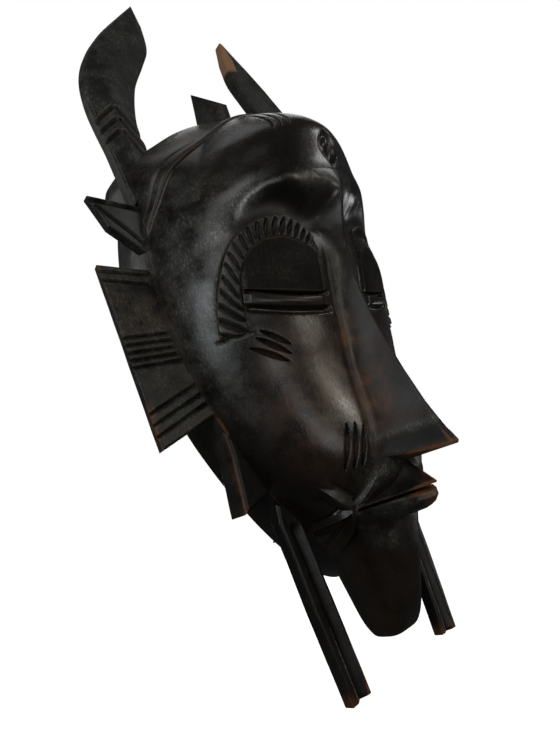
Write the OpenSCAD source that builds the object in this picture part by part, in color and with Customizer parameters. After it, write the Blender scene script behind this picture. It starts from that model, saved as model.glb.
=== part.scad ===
// Carved wooden face mask of the kpelie kind: an oval face with closed eyes, a long thin
// nose, a small pointed mouth, horns, ear panels and two legs, hollowed out from behind.
//
// Shapes are drawn with x across the face, y from front (negative) to back and z up from
// the foot of the legs. The fronts of the plates lie near y = 0.
// placed() then moves everything so that the origin is the mouth of the hanging hole, which
// is on the rim at the back.

/* [Face] */
// Half the width of the face at its widest
face_half_w = 68; // [60:1:76]
// Height of the widest line above the foot of the legs
face_mid_z = 168; // [160:1:176]
// From the widest line up to the top of the rim
rim_rise = 106; // [100:1:112]
// From the widest line down to the bottom of the rim
rim_drop = 130; // [124:1:134]
// Depth of the cheeks in front of the rim
cheek_depth = 63; // [56:1:68]
// How much further forward the forehead stands
forehead_bulge = 25; // [18:1:28]
// Thickness of the wooden wall
wall = 12; // [8:0.5:14]
// Depth of the rim behind the front of the plates
rim_y = 22; // [18:1:26]

/* [Horns and plates] */
// Thickness of the horns
horn_t = 7; // [5:0.5:9]
// Thickness of the temple fins and ear panels
panel_t = 5; // [3:0.5:6]
// Thickness of the jaw fins
jaw_t = 12; // [9:0.5:13]
// Thickness of the legs
leg_t = 6.5; // [5:0.5:8]
// Height of the horn tips
horn_tip_z = 342; // [330:1:350]
// Reach of the ear panels from the midline
panel_reach = 84.5; // [80:0.5:88]
// Height of the crest on the midline
crest_top_z = 296; // [290:1:302]
// Depth of the carved lines
line_depth = 1.6; // [0.8:0.1:2.4]

/* [Features] */
// Height of the corner of the eye
eye_z = 150.6; // [146:0.2:154]
// Height of the tip of the nose
nose_tip_z = 78; // [76:0.5:80]
// Depth of the tip of the nose in front of the plates
nose_tip_y = -61.6; // [-66:0.2:-58]
// Height of the parting of the lips
mouth_z = 66; // [64:0.5:68]
// Height of the bottom of the chin
chin_z = 12.5; // [10:0.5:16]
// Number of cuts in each eyebrow
brow_cuts = 26; // [16:1:32]

/* [Mounting] */
// Radius of the hanging hole
hole_r = 2.5; // [2:0.1:3]
// Depth of the hanging hole
hole_depth = 9; // [6:0.5:12]

/* [Hidden] */

spokes = 48;              // points round each ring of the face
face_rings = 13;          // rings from the crown of the face to the headband line
dome_power = 2.1;         // roundness of the face from front to back
hairline_z = 192;         // height where the headband line leaves the temples
hairline_y = 0;           // depth of that line below hairline_z
hairline_lean = 0.485;    // how fast the line comes forward above hairline_z
hole_z = face_mid_z + rim_rise - wall / 2;
wood_dark = [0.13, 0.11, 0.10];
wood_mid = [0.19, 0.15, 0.12];
wood_worn = [0.30, 0.20, 0.13];

// ---- small helpers ----

// Smooth step from 0 at a to 1 at b
function ramp(a, b, t) = let (s = max(0, min(1, (t - a) / (b - a)))) s * s * (3 - 2 * s);
function mix(a, b, t) = a + (b - a) * t;

// A smooth line through hand-placed points, with a few points added in each gap
function smooth_line(p, steps = 4) = concat([for (i = [0 : len(p) - 2], k = [0 : steps - 1])
    let (a = p[max(0, i - 1)], b = p[i], c = p[i + 1], d = p[min(len(p) - 1, i + 2)], t = k / steps)
    0.5 * (2 * b + (c - a) * t + (2 * a - 5 * b + 4 * c - d) * t * t
           + (3 * b - a - 3 * c + d) * t * t * t)], [p[len(p) - 1]]);

module placed() {
    translate([0, -rim_y, -hole_z]) children();
}

module both_sides(right) {
    placed() mirror([right ? 0 : 1, 0, 0]) children();
}

// A flat plate drawn in x and z, from y = front to y = back
module plate(back, front = 0) {
    translate([0, back, 0]) rotate([90, 0, 0]) linear_extrude(back - front) children();
}

// A closed solid between a front grid and a back grid of points, rows of equal length
module slab(front, back) {
    rows = len(front);
    cols = len(front[0]);
    n = rows * cols;
    points = concat([for (r = front, p = r) p], [for (r = back, p = r) p]);
    edge = concat([for (j = [0 : cols - 1]) j],
                  [for (i = [1 : rows - 1]) i * cols + cols - 1],
                  [for (j = [cols - 2 : -1 : 0]) (rows - 1) * cols + j],
                  [for (i = [rows - 2 : -1 : 1]) i * cols]);
    faces = concat(
        [for (i = [0 : rows - 2], j = [0 : cols - 2], h = [0, 1]) let (a = i * cols + j)
            h == 0 ? [a, a + 1, a + cols + 1] : [a, a + cols + 1, a + cols]],
        [for (i = [0 : rows - 2], j = [0 : cols - 2], h = [0, 1]) let (a = n + i * cols + j)
            h == 0 ? [a, a + cols + 1, a + 1] : [a, a + cols, a + cols + 1]],
        [for (k = [0 : len(edge) - 1], h = [0, 1])
            let (a = edge[k], b = edge[(k + 1) % len(edge)])
            h == 0 ? [b, a, a + n] : [b, a + n, b + n]]);
    polyhedron(points, faces);
}

// A closed solid through rings of points, with flat ends
module loft(rings) {
    count = len(rings);
    n = len(rings[0]);
    points = [for (r = rings, p = r) p];
    faces = concat(
        [for (i = [0 : count - 2], j = [0 : n - 1], h = [0, 1])
            let (a = i * n + j, b = i * n + (j + 1) % n)
            h == 0 ? [a, b + n, b] : [a, a + n, b + n]],
        [[for (j = [0 : n - 1]) j], [for (j = [n - 1 : -1 : 0]) (count - 1) * n + j]]);
    polyhedron(points, faces);
}

// ---- the surface of the face ----

// Depth of the face in front of the rim, at height z on the midline
function depth_at(z) = cheek_depth + 4 * ramp(145, 170, z)
    + forehead_bulge * (0.64 * ramp(178, 204, z) + 0.36 * ramp(200, 224, z))
    - 15 * ramp(225, 265, z) + 23 * ramp(128, 55, z);

// Squareness of the outline: pointed near the crown of the face, rounder at the rim
function squareness(up, r) = up ? 1.45 + 0.6 * ramp(0.88, 1, r) : 1.77 - 0.27 * ramp(0.88, 1, r);

// The rim swells sideways where the horns spring from it
function flare(r, z) = 1 + 0.16 * ramp(0.88, 1, r) * (ramp(210, 236, z) - ramp(236, 262, z));

// Point of the face at fraction r of the way from crown to rim, in direction a, inset by k
function face_point(r, a, k = 0) =
    let (up = sin(a) >= 0, e = 2 / squareness(up, r),
         z = face_mid_z + ((up ? rim_rise : rim_drop) - k) * r * sign(sin(a)) * pow(abs(sin(a)), e),
         x = (face_half_w - k) * r * flare(r, z) * sign(cos(a)) * pow(abs(cos(a)), e))
    [x, rim_y - (depth_at(z) - k) * pow(max(0, 1 - pow(r, dome_power)), 1 / dome_power), z];

// Fraction of the way to the rim at x and z
function face_radius(x, z, r = 0.5, left = 12) = left == 0 ? r :
    let (up = z > face_mid_z, n = squareness(up, r),
         t = abs(z - face_mid_z) / (up ? rim_rise : rim_drop),
         next = pow(pow(abs(x) / face_half_w / flare(r, z), n) + pow(t, n), 1 / n))
    face_radius(x, z, (r + next) / 2, left - 1);

// Depth of the surface of the face at x and z
function face_y(x, z) =
    rim_y - depth_at(z) * pow(max(0, 1 - pow(face_radius(x, z), dome_power)), 1 / dome_power);

// The plane of the headband line, which leans forward above the temples
function hairline(z) = hairline_y - hairline_lean * max(0, z - hairline_z);

// Fraction of the way to the rim where the face crosses a plane behind the headband line
function hairline_r(a, k = 0, behind = 0, lo = 0.3, hi = 1, left = 22) = left == 0 ? (lo + hi) / 2 :
    let (m = (lo + hi) / 2, p = face_point(m, a, k))
    p[1] < hairline(p[2]) + behind ? hairline_r(a, k, behind, m, hi, left - 1)
                                   : hairline_r(a, k, behind, lo, m, left - 1);

spoke_angles = [for (j = [0 : spokes - 1]) (j + 0.5) * 360 / spokes];
edge_out = [for (a = spoke_angles) hairline_r(a)];
edge_in = [for (a = spoke_angles) hairline_r(a, wall)];

// ---- face and hood ----

module face_shell() {
    outer = [for (i = [1 : face_rings], j = [0 : spokes - 1])
        face_point(edge_out[j] * pow(i / face_rings, 0.9), spoke_angles[j])];
    inner = [for (i = [1 : face_rings], j = [0 : spokes - 1])
        face_point(edge_in[j] * pow(i / face_rings, 0.9), spoke_angles[j], wall)];
    n = face_rings * spokes;
    last = n - spokes;
    points = concat(outer, inner, [face_point(0, 90)], [face_point(0, 90, wall)]);
    faces = concat(
        [for (j = [0 : spokes - 1]) [2 * n, (j + 1) % spokes, j]],
        [for (j = [0 : spokes - 1]) [2 * n + 1, n + j, n + (j + 1) % spokes]],
        [for (i = [0 : face_rings - 2], j = [0 : spokes - 1], h = [0, 1])
            let (a = i * spokes + j, b = i * spokes + (j + 1) % spokes)
            h == 0 ? [a, b, b + spokes] : [a, b + spokes, a + spokes]],
        [for (i = [0 : face_rings - 2], j = [0 : spokes - 1], h = [0, 1])
            let (a = n + i * spokes + j, b = n + i * spokes + (j + 1) % spokes)
            h == 0 ? [a, b + spokes, b] : [a, a + spokes, b + spokes]],
        [for (j = [0 : spokes - 1], h = [0, 1])
            let (a = last + j, b = last + (j + 1) % spokes)
            h == 0 ? [a, b, b + n] : [a, b + n, a + n]]);
    color(wood_dark) placed() polyhedron(points, faces);
}

// The shell behind the headband line, before the plates are let into it
module hood_ring() {
    steps = 4;
    outer = [for (i = [0 : steps], j = [0 : spokes - 1])
        face_point(mix(edge_out[j], 1, i / steps), spoke_angles[j])];
    inner = [for (i = [steps : -1 : 0], j = [0 : spokes - 1])
        face_point(mix(edge_in[j], 1, i / steps), spoke_angles[j], wall)];
    rows = 2 * (steps + 1);
    faces = [for (i = [0 : rows - 1], j = [0 : spokes - 1], h = [0, 1])
        let (a = i * spokes + j, b = i * spokes + (j + 1) % spokes,
             c = ((i + 1) % rows) * spokes + j, d = ((i + 1) % rows) * spokes + (j + 1) % spokes)
        h == 0 ? [a, b, d] : [a, d, c]];
    polyhedron(concat(outer, inner), faces);
}

module hood() {
    color(wood_dark) difference() {
        placed() hood_ring();
        placed() {
            crest_blank();
            for (side = [0, 1]) mirror([side, 0, 0]) {
                plate(horn_t) horn_outline();
                plate(panel_t) temple_fin_outline();
                ear_panel_pose() plate(panel_t) ear_panel_outline();
                plate(jaw_t) jaw_fin_outline();
                leg_pose() plate(leg_t) leg_outline();
            }
        }
        rotate([90, 0, 0]) cylinder(h = 2 * hole_depth, r = hole_r, center = true, $fn = 48);
    }
}

// A raised strip over the top of the head, along the front edge of the hood
module headband() {
    arc = [for (a = spoke_angles) if (sin(a) > 0 && face_point(hairline_r(a), a)[2] > 197) a];
    function on(a, behind, lift) =
        face_point(hairline_r(a, 0, behind), a) + lift * [cos(a), -0.5, sin(a)];
    inner = [for (a = arc) [on(a, 0.6, 0), on(a, 5, 0)]];
    outer = [for (a = arc) [on(a, 0.6, 1.2), on(a, 5, 1.2)]];
    color(wood_mid) placed() slab(inner, outer);
}

// ---- crest, horns, fins, panels and legs ----

// A wedge with its edge to the front
module crest_blank() {
    intersection() {
        rotate([90, 0, 90]) linear_extrude(12, center = true)
            polygon([[-11.5, 252], [-12.2, 275], [5, crest_top_z], [11, 260]]);
        linear_extrude(400) polygon([[-4.5, 12], [4.5, 12], [4.5, -6], [0, -12.5], [-4.5, -6]]);
    }
}

module crest() {
    color(wood_mid) placed() crest_blank();
}

module horn_outline() {
    outer = smooth_line([[62, 214], [65.5, 241], [69.8, 267], [66.8, 289], [54.5, 310.5], [29, horn_tip_z]]);
    inner = smooth_line([[27.5, 313], [33.5, 300], [43, 281.5], [47.8, 260], [46.5, 243]]);
    polygon(concat([[50, 222]], outer, [[26.6, horn_tip_z - 14]], inner));
}

// One straight V cut across the front of a plate, from a to b
module cut_line(a, b, w = 2.2, d = line_depth, front = 0) {
    v = b - a;
    translate([a[0], front, a[1]]) rotate([0, -atan2(v[1], v[0]), 0]) rotate([90, 0, 90])
        linear_extrude(norm(v)) polygon([[-1, w], [-1, -w], [0, -w / 2], [d, 0], [0, w / 2]]);
}

module horn() {
    difference() {
        plate(horn_t) horn_outline();
        for (i = [0 : 2]) {
            cut_line([71, 252.5 - 6 * i], [59.5, 265 - 6.5 * i]);
            cut_line([57, 265 - 6.5 * i], [47, 251 - 6.5 * i]);
        }
        // the outer edge is chamfered above the temple
        translate([62, 0, 212]) rotate([0, 9, 0]) rotate([0, 0, 35]) translate([0, -12, 0]) cube([12, 12, 34]);
    }
}

module horn_left() { color(wood_dark) both_sides(false) horn(); }
module horn_right() { color(wood_dark) both_sides(true) horn(); }

module temple_fin_outline() {
    polygon([[82.7, 215.3], [62, 213.5], [52, 212], [52, 184], [63, 190], [77, 201.5]]);
}

module temple_fin() {
    difference() {
        plate(panel_t) temple_fin_outline();
        cut_line([81, 213], [61, 211.2], 1.6);
        cut_line([80, 210.5], [62, 193.5], 1.6);
    }
}

module temple_fin_left() { color(wood_dark) both_sides(false) temple_fin(); }
module temple_fin_right() { color(wood_dark) both_sides(true) temple_fin(); }

module ear_panel_outline() {
    polygon([[panel_reach, 186.8], [60, 182.5], [50, 119], [panel_reach - 5, 108.5]]);
}

// The ear panels slope back from the face
module ear_panel_pose() {
    translate([56, 0, 0]) rotate([0, 0, 10]) translate([-56, 0, 0]) children();
}

module ear_panel() {
    ear_panel_pose() difference() {
        plate(panel_t) ear_panel_outline();
        for (i = [0 : 1]) cut_line([panel_reach + 1, 183.8 - 4 * i], [63, 180 - 4 * i], 1.8);
        for (i = [0 : 3]) cut_line([panel_reach + 1, 154 - 4.5 * i], [54, 154.5 - 4.5 * i], 2);
        for (i = [0 : 2]) cut_line([panel_reach, 112 + 4.6 * i], [52, 124.5 + 4.6 * i], 2);
    }
}

module ear_panel_left() { color(wood_mid) both_sides(false) ear_panel(); }
module ear_panel_right() { color(wood_mid) both_sides(true) ear_panel(); }

module jaw_fin_outline() {
    polygon([[53, 114], [52.2, 99], [54, 77.2], [38, 83], [46, 113]]);
}

module jaw_fin_left() { color(wood_mid) both_sides(false) plate(jaw_t) jaw_fin_outline(); }
module jaw_fin_right() { color(wood_mid) both_sides(true) plate(jaw_t) jaw_fin_outline(); }

module leg_outline() {
    polygon([[36.2, 0], [25.8, 0.6], [30.4, 68], [30, 76], [40.2, 77.5], [41.6, 70]]);
}

// The legs lean a little forward from the jaw
module leg_pose() {
    translate([0, -1.4, 75]) rotate([-1.6, 0, 0]) translate([0, 0, -75]) children();
}

// A leg has a groove down its front that leaves two ribs
module leg() {
    leg_pose() difference() {
        plate(leg_t) leg_outline();
        cut_line([30.2, -2], [35, 66], 2.8, 2);
    }
}

module leg_left() { color(wood_mid) both_sides(false) leg(); }
module leg_right() { color(wood_mid) both_sides(true) leg(); }

// ---- nose and mouth ----

// Depth of the ridge of the nose at height z
function ridge_y(z) = lookup(z, [[nose_tip_z, nose_tip_y], [84, -59], [97, -55.3], [110, -52.2],
    [127, -48.9], [137, -47.5], [147, -47], [155, -47], [162, -47.6], [168, -48.6], [174, -50.2],
    [180, -52.8], [186, -55.6], [192, -57.4]]);

// Half the width of the foot of the nose on the face at height z
function nose_half_w(z) = lookup(z, [[nose_tip_z, 15], [88, 14.5], [100, 12.5], [130, 9.6],
    [150, 8.4], [165, 9], [180, 9], [188, 5]]);

module nose() {
    rows = 26;
    side = 7;
    function nose_x(z, t) = let (flat = 1 + 1.6 * ramp(100, nose_tip_z, z))
        sign(t) * mix(flat, nose_half_w(z), (abs(t) - 1) / side);
    function nose_front(z, t) = let (s = max(0, (abs(t) - 1) / side), foot = face_y(nose_half_w(z), z))
        min(face_y(nose_x(z, t), z) - 0.05, mix(ridge_y(z), foot, 1 - pow(1 - s, 1.9)));
    front = [for (i = [0 : rows]) let (z = mix(188, nose_tip_z, i / rows))
        [for (t = [-side - 1 : 1 : side + 1]) if (t != 0) let (x = nose_x(z, t)) [x, nose_front(z, t), z]]];
    back = [for (i = [0 : rows]) let (z = mix(188, nose_tip_z, i / rows))
        [for (t = [-side - 1 : 1 : side + 1]) if (t != 0) let (x = nose_x(z, t)) [x, face_y(x, z), z]]];
    color(wood_worn) placed() slab(front, back);
}

// A lip is a curved strip from one corner of the mouth to the other
module lip(top_z, low_z, top_w, low_w, top_y, low_y, corner_y) {
    cols = 16;
    rows = 4;
    function lip_front(s, v) = let (x = mix(top_w, low_w, v) * s, z = mix(top_z, low_z, v))
        [x, min(face_y(x, z) - 0.05,
                mix(mix(top_y, low_y, v), mix(face_y(x, z), corner_y, v), pow(abs(s), 1.25))), z];
    front = [for (i = [0 : rows]) [for (j = [0 : cols]) lip_front(2 * j / cols - 1, i / rows)]];
    back = [for (r = front) [for (p = r) [p[0], face_y(p[0], p[2]), p[2]]]];
    slab(front, back);
}

module upper_lip() {
    color(wood_mid) placed() lip(77, mouth_z, 5, 22.5, -37.5, -48, -22.5);
}

module lower_lip() {
    color(wood_mid) placed() lip(mouth_z - 1.3, 57.5, 22.5, 17, -45.4, -42, -19);
}

module chin_block() {
    sections = [[57.4, 18, -27, 14], [50, 16.2, -25, 14], [40, 13.8, -21.8, 13], [30, 11.9, -18.2, 11.5],
                [21, 10.5, -14.2, 9.5], [15.5, 8.8, -10, 7], [chin_z, 5, -5, 3]];
    loft([for (s = sections) let (mid = (s[2] + s[3]) / 2, half = (s[3] - s[2]) / 2)
        [for (a = [0 : 15 : 359])
            [s[1] * sign(cos(a)) * pow(abs(cos(a)), 0.75),
             mid - half * sign(sin(a)) * pow(abs(sin(a)), 0.75), s[0]]]]);
}

// The chin hangs below the mouth and is let in against the shell
module chin() {
    color(wood_dark) placed() difference() {
        chin_block();
        loft([for (i = [0 : 8]) let (z = mix(70, 38.2, i / 8), w = 26)
            concat([for (x = [w : -4 : -w]) [x, face_y(x, z), z]], [[-w, 60, z], [w, 60, z]])]);
    }
}

// ---- brows, eyes, mouth corners and the mark on the forehead ----

// Outer edge of an eyebrow, from the foot of its tail (0) to its inner end (1)
function brow_edge(t) = t < 0.14 ? [53.8, mix(141.5, 152, t / 0.14)] :
    let (a = 156 * (t - 0.14) / 0.86) [33 + 20.8 * cos(a), 152 + 33.3 * sin(a)];

function brow_inward(t) = let (d = brow_edge(min(1, t + 0.01)) - brow_edge(max(0, t - 0.01)))
    [-d[1], d[0]] / norm(d);

module brow() {
    steps = 4 * brow_cuts;
    cols = 3;
    profile = [0.5, 1.7, 1.7, 0.5];
    function brow_w(t) = 9.3 * (1 - ramp(0.62, 1.03, t));
    function brow_at(t, s) = let (p = brow_edge(t) + brow_inward(t) * brow_w(t) * s,
        h = profile[(round(t * steps) + round(2 * s)) % 4]) [p, h];
    grid = [for (i = [0 : steps]) [for (j = [0 : cols]) brow_at(i / steps, j / cols)]];
    front = [for (r = grid) [for (q = r) [q[0][0], face_y(q[0][0], q[0][1]) - q[1], q[0][1]]]];
    back = [for (r = grid) [for (q = r) [q[0][0], face_y(q[0][0], q[0][1]), q[0][1]]]];
    slab(front, back);
}

module brow_left() { color(wood_mid) both_sides(false) brow(); }
module brow_right() { color(wood_mid) both_sides(true) brow(); }

// Height of the slit of the eye at x
function slit_z(x) = eye_z + 6.6 * pow((x - 14) / 30, 2);

// Height of the top of the eyelid at x, just inside the eyebrow
function lid_top_z(x) = 152 + 22 * sqrt(max(0, 1 - pow((x - 31) / (x < 31 ? 19 : 13), 2)));

module eyelid() {
    cols = 14;
    rows = 8;
    grid = [for (i = [0 : rows]) [for (j = [0 : cols])
        let (x = mix(13.5, 43.5, j / cols), low = slit_z(x), z = mix(low, max(lid_top_z(x), low + 1), i / rows),
             h = 0.3 + 1.5 * pow(sin(180 * (0.06 + 0.88 * j / cols)), 0.6) * pow(cos(88 * i / rows), 0.7))
        [x, face_y(x, z), z, h]]];
    front = [for (r = grid) [for (p = r) [p[0], p[1] - p[3], p[2]]]];
    back = [for (r = grid) [for (p = r) [p[0], p[1], p[2]]]];
    slab(back, front);
}

module eyelid_left() { color(wood_mid) both_sides(false) eyelid(); }
module eyelid_right() { color(wood_mid) both_sides(true) eyelid(); }

module lower_lid() {
    cols = 14;
    grid = [for (i = [0 : 2]) [for (j = [0 : cols])
        let (x = mix(13.5, 44, j / cols), z = slit_z(x) - 1.2 - 2.2 * i,
             h = 0.4 + [1.8, 2.6, 1.8][i] * pow(sin(180 * (0.06 + 0.88 * j / cols)), 0.6))
        [x, face_y(x, z), z, h]]];
    front = [for (r = grid) [for (p = r) [p[0], p[1] - p[3], p[2]]]];
    back = [for (r = grid) [for (p = r) [p[0], p[1], p[2]]]];
    slab(front, back);
}

module lower_lid_left() { color(wood_mid) both_sides(false) lower_lid(); }
module lower_lid_right() { color(wood_mid) both_sides(true) lower_lid(); }

// A pointed ridge on the face, from just behind the centre of the star out to a point
module star_arm(centre, tip, w = 2, h = 1.8) {
    steps = 6;
    along = (tip - centre) / norm(tip - centre);
    side = [-along[1], along[0]];
    start = centre - 2 * along;
    grid = [for (i = [0 : steps]) [for (j = [-1 : 1])
        let (t = i / steps,
             p = mix(start, tip, t) + side * w * j * (0.1 + 0.9 * sin(180 * min(1, t * 0.6 + 0.4))),
             up = (j == 0 ? h : 0.25) * (1 - 0.8 * t))
        [p[0], face_y(p[0], p[1]), p[1], up]]];
    front = [for (r = grid) [for (p = r) [p[0], p[1] - p[3], p[2]]]];
    back = [for (r = grid) [for (p = r) [p[0], p[1] + 0.3, p[2]]]];
    slab(front, back);
}

module mouth_star() {
    centre = [22, mouth_z];
    for (tip = [[32, 77], [28, 64], [18.5, 53], [14.5, 76]]) star_arm(centre, tip);
}

module mouth_star_left() { color(wood_mid) both_sides(false) mouth_star(); }
module mouth_star_right() { color(wood_mid) both_sides(true) mouth_star(); }

// An almond-shaped mark with a hollow in its middle
module forehead_boss() {
    rings = 4;
    count = 20;
    lift = [0.4, 1.0, 2.2, 0.4];
    ring = [for (i = [0 : rings]) [for (j = [0 : count - 1])
        let (a = 360 * j / count, s = max(0.02, i / rings),
             x = s * 5.2 * cos(a) * pow(abs(cos(a)) + 0.01, 0.3), z = 210.5 + s * 8.5 * sin(a))
        [x, face_y(x, z), z, i == 0 ? 0.3 : lift[i - 1]]]];
    front = [for (r = ring) [for (p = r) [p[0], p[1] - p[3], p[2]]]];
    back = [for (p = ring[rings]) [p[0], p[1], p[2]]];
    middle = [0, face_y(0, 210.5) - 0.3, 210.5];
    points = concat([for (i = [0 : rings]) for (j = [0 : count - 1]) front[i][j]], back,
                    [middle, middle + [0, 0.3, 0]]);
    n = (rings + 1) * count;
    faces = concat(
        [for (j = [0 : count - 1]) [n + count, (j + 1) % count, j]],
        [for (i = [0 : rings - 1], j = [0 : count - 1], h = [0, 1])
            let (a = i * count + j, b = i * count + (j + 1) % count)
            h == 0 ? [a, b, b + count] : [a, b + count, a + count]],
        [for (j = [0 : count - 1], h = [0, 1])
            let (a = n - count + j, b = n - count + (j + 1) % count)
            h == 0 ? [a, b, b + count] : [a, b + count, a + count]],
        [for (j = [0 : count - 1]) [n + count + 1, n + j, n + (j + 1) % count]]);
    color(wood_worn) placed() polyhedron(points, faces);
}

face_shell();
hood();
headband();
crest();
horn_left();
horn_right();
temple_fin_left();
temple_fin_right();
ear_panel_left();
ear_panel_right();
jaw_fin_left();
jaw_fin_right();
leg_left();
leg_right();
nose();
upper_lip();
lower_lip();
chin();
brow_left();
brow_right();
eyelid_left();
eyelid_right();
lower_lid_left();
lower_lid_right();
mouth_star_left();
mouth_star_right();
forehead_boss();
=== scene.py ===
"""Looks of the carved wooden mask: one detailed, closed mesh for every CAD node.

All shapes are worked out in the drawing frame of the CAD part, in millimetres: x across the
face, y from front (negative) to back, z up from the foot of the legs. place() turns them into
the frame's metres. The surface of the face is one height formula, the same as the CAD part's,
and brows, lids, nose and lips are reliefs that rise from it and dive back into it.
"""
import itertools
import math

import bmesh
import bpy
import numpy as np
from mathutils import Matrix, Vector


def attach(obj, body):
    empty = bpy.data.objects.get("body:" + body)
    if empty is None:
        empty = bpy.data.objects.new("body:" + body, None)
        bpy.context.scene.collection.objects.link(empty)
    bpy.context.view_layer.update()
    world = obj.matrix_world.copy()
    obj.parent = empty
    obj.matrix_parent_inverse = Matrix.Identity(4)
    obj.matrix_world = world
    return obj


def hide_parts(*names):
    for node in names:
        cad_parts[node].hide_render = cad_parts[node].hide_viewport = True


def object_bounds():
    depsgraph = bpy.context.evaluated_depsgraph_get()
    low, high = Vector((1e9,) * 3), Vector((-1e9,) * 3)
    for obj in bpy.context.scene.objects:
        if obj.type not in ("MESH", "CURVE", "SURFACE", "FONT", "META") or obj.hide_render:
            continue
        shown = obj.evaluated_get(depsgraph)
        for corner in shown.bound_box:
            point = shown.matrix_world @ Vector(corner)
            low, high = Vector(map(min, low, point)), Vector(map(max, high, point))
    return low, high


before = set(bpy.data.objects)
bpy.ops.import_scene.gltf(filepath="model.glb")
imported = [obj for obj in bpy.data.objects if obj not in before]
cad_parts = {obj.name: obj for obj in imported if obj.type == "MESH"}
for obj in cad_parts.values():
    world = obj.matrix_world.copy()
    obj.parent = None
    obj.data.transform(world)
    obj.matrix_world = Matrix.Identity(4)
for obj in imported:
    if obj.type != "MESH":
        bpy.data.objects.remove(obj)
cad_box = [list(corner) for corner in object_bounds()]

# ---- sizes that the CAD part also uses, in millimetres ----
HALF_W = 68.0           # half the width of the face
MID_Z = 168.0           # height of its widest line
RISE = 106.0            # from there up to the rim
DROP = 130.0            # and down to the rim
DOME = 2.1              # roundness from front to back
RIM_Y = 22.0            # depth of the rim behind the fronts of the plates
WALL = 12.0             # thickness of the wood
HOLE_Z = 268.0          # height of the hanging hole, where the frame has its origin
HAIR_Z = 192.0          # where the headband line leaves the temples
HAIR_LEAN = 0.485       # how fast it comes forward above that
EYE_Z = 150.6           # height of the inner corner of the eye

COVE = 2.4              # depth of the hollow over the brows

SEED = 7


# ---- small helpers ----

def ramp(a, b, t):
    """Smooth step from 0 at a to 1 at b."""
    s = np.clip((t - a) / (b - a), 0, 1)
    return s * s * (3 - 2 * s)


def mix(a, b, t):
    return a + (b - a) * t


def bump(t, centre, width):
    """A smooth hump of height 1."""
    return np.exp(-((t - centre) / width) ** 2)


def place(points):
    """Drawing millimetres to frame metres."""
    return (np.asarray(points, float) - [0, RIM_Y, HOLE_Z]) / 1000


def smooth_line(points, count):
    """count points at even spacing along a smooth line through given points."""
    p = np.array(points, float)
    p = np.vstack([2 * p[0] - p[1], p, 2 * p[-1] - p[-2]])
    fine = []
    for a, b, c, d in zip(p, p[1:], p[2:], p[3:]):
        for t in np.linspace(0, 1, 24, endpoint=False):
            fine.append(0.5 * (2 * b + (c - a) * t + (2 * a - 5 * b + 4 * c - d) * t ** 2
                               + (3 * b - a - 3 * c + d) * t ** 3))
    return even_line(fine + [p[-2]], count)


def even_line(points, count):
    """count points at even spacing along straight pieces."""
    p = np.array(points, float)
    run = np.r_[0, np.cumsum(np.linalg.norm(np.diff(p, axis=0), axis=1))]
    at = np.linspace(0, run[-1], count)
    return np.column_stack([np.interp(at, run, p[:, k]) for k in range(p.shape[1])])


def noise(points, size, seed):
    """Smooth lattice noise from -1 to 1 whose lumps are about size millimetres."""
    lattice = np.random.default_rng(SEED + seed).uniform(-1, 1, (32, 32, 32))
    q = np.asarray(points, float) / size
    cell = np.floor(q).astype(int)
    f = q - cell
    f = f * f * (3 - 2 * f)
    total = 0
    for corner in itertools.product((0, 1), repeat=3):
        weight = np.prod(np.where(corner, f, 1 - f), axis=-1)
        i, j, k = np.moveaxis((cell + corner) % 32, -1, 0)
        total = total + weight * lattice[i, j, k]
    return total


def from_segment(x, z, a, b):
    """Distance from the segment a-b, and how far along it each point lies, from 0 to 1."""
    ax, az = a
    dx, dz = b[0] - ax, b[1] - az
    t = np.clip(((x - ax) * dx + (z - az) * dz) / (dx * dx + dz * dz), 0, 1)
    return np.hypot(x - ax - t * dx, z - az - t * dz), t


def gouge(x, z, a, b, width, depth):
    """Depth of one lens-shaped knife cut from a to b."""
    d, t = from_segment(x, z, a, b)
    half = width * (0.25 + 0.75 * np.sin(math.pi * np.clip(t, 0.02, 0.98)) ** 0.7)
    return depth * np.clip(1 - d / half, 0, 1) ** 0.8


# ---- the surface of the face ----

def depth_at(z):
    """Depth of the face in front of the rim, on the midline."""
    return (63 + 4 * ramp(145, 170, z) + 16 * ramp(178, 204, z) + 9 * ramp(200, 224, z)
            - 15 * ramp(225, 265, z) + 23 * ramp(128, 55, z))


def squareness(z, r):
    """Pointed near the crown of the face, rounder at the rim."""
    upper = 1.45 + 0.6 * ramp(0.88, 1, r)
    lower = 1.77 - 0.27 * ramp(0.88, 1, r)
    return mix(lower, upper, ramp(MID_Z - 18, MID_Z + 18, z))


def flare(r, z):
    """The rim swells sideways where the horns spring from it."""
    return 1 + 0.16 * ramp(0.88, 1, r) * (ramp(210, 236, z) - ramp(236, 262, z))


def soft_power(v, full, n, blur=8.0):
    """(|v| / full) to the power n, with the kink at 0 rounded off."""
    low = blur ** n
    return ((v * v + blur * blur) ** (n / 2) - low) / ((full * full + blur * blur) ** (n / 2) - low)


def face_radius(x, z, inset=0):
    """Fraction of the way from the crown of the face to its rim."""
    half_w = HALF_W - inset
    span = np.where(z > MID_Z, RISE, DROP) - inset
    r = np.hypot(x / half_w, (z - MID_Z) / span)
    for _ in range(12):
        n = squareness(z, r)
        total = soft_power(x / flare(r, z), half_w, n) + soft_power(z - MID_Z, span, n)
        r = 0.5 * r + 0.5 * np.maximum(total, 1e-9) ** (1 / n)
    return r


def face_y(x, z, inset=0):
    """Depth of the face, or of a surface inset from it, at x and z."""
    r = np.clip(face_radius(x, z, inset), 0, 1)
    return RIM_Y - (depth_at(z) - inset) * np.clip(1 - r ** DOME, 0, 1) ** (1 / DOME)


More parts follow.
